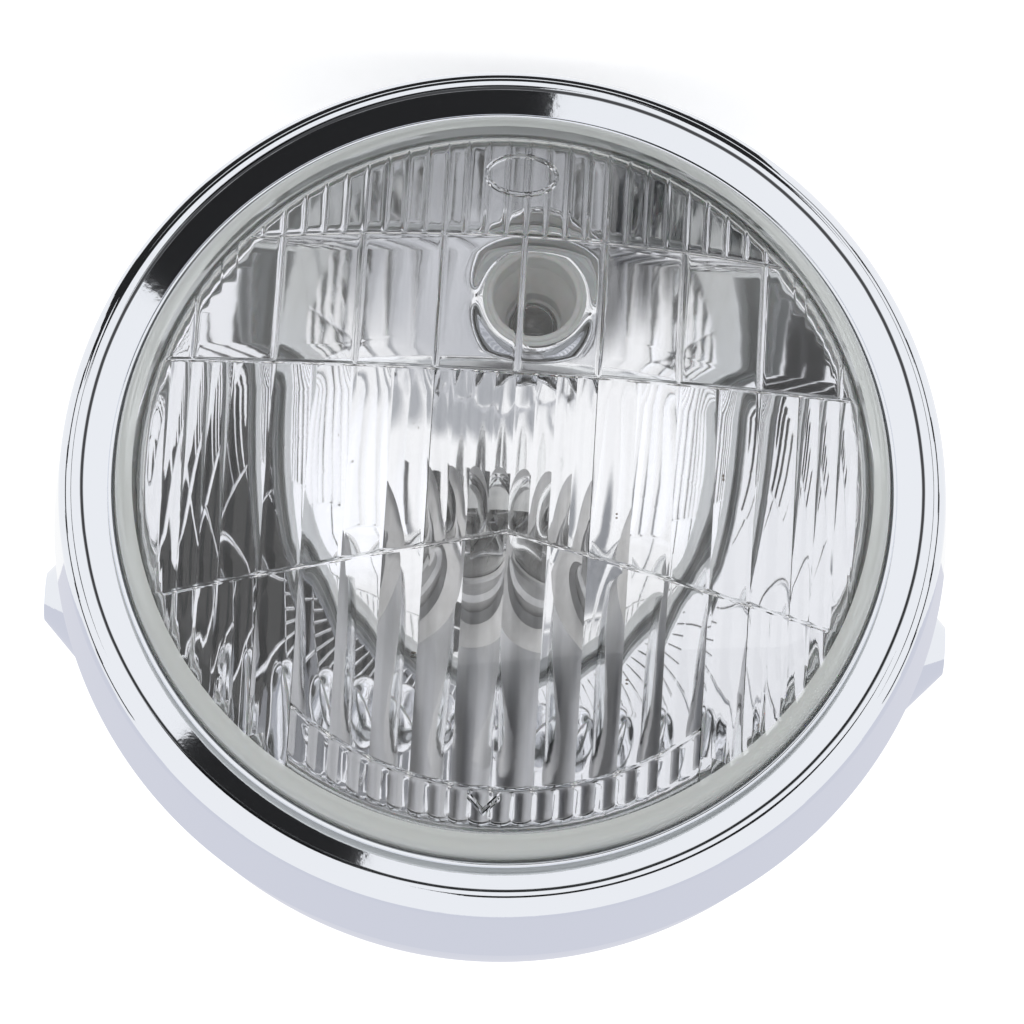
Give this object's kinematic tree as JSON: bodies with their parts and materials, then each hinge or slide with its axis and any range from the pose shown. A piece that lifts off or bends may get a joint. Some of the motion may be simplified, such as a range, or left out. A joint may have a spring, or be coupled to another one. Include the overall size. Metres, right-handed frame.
{
  "type": "motorcycle headlight",
  "caption": "Round chromed motorcycle headlight with a fluted glass lens, reflector, main and pilot bulbs and a bowl-shaped bucket.",
  "frame": {"origin": "middle of the lamp's box, on the optical axis", "axes": "the glass faces -Y, +Z is the lamp's top, +X runs out of the mount on its right as seen from the front"},
  "size_m": [0.186, 0.134, 0.1812],
  "materials": {
    "chromed_steel": "polished chrome plate",
    "lens_glass": "clear pressed glass, faintly green at the edge",
    "black_rubber": "matt moulded rubber",
    "aluminised_mirror": "vacuum-coated aluminium under clear lacquer",
    "spring_steel": "bright spring steel",
    "bulb_glass": "thin clear glass",
    "tungsten_wire": "drawn wire",
    "bulb_metal": "stamped nickel-plated steel",
    "brown_phenolic": "moulded phenolic",
    "contact_brass": "stamped brass",
    "plug_plastic": "moulded nylon",
    "white_silicone": "translucent white silicone",
    "zinc_steel": "bright zinc plate"
  },
  "bodies": {
    "root": {"rim": "chromed_steel", "rim_gasket": "black_rubber", "lens": "lens_glass", "lens_seal": "black_rubber", "reflector": "aluminised_mirror", "retaining_clips": "spring_steel", "bulb_glass": "bulb_glass", "bulb_filaments": "tungsten_wire", "bulb_supports": "tungsten_wire", "bulb_shield": "bulb_metal", "bulb_base": "bulb_metal", "bulb_insulator": "brown_phenolic", "bulb_blades": "contact_brass", "bulb_clip": "spring_steel", "bulb_plug": "plug_plastic", "plug_terminals": "contact_brass", "bulb_boot": "black_rubber", "pilot_holder": "white_silicone", "pilot_bulb": "bulb_glass", "pilot_filament": "tungsten_wire", "pilot_terminals": "contact_brass", "bucket": "chromed_steel", "left_boss": "chromed_steel", "right_boss": "chromed_steel", "rim_hook": "zinc_steel", "rim_screw": "zinc_steel", "rim_nut": "zinc_steel", "wiring_grommet": "black_rubber"}
  },
  "joints": []
}
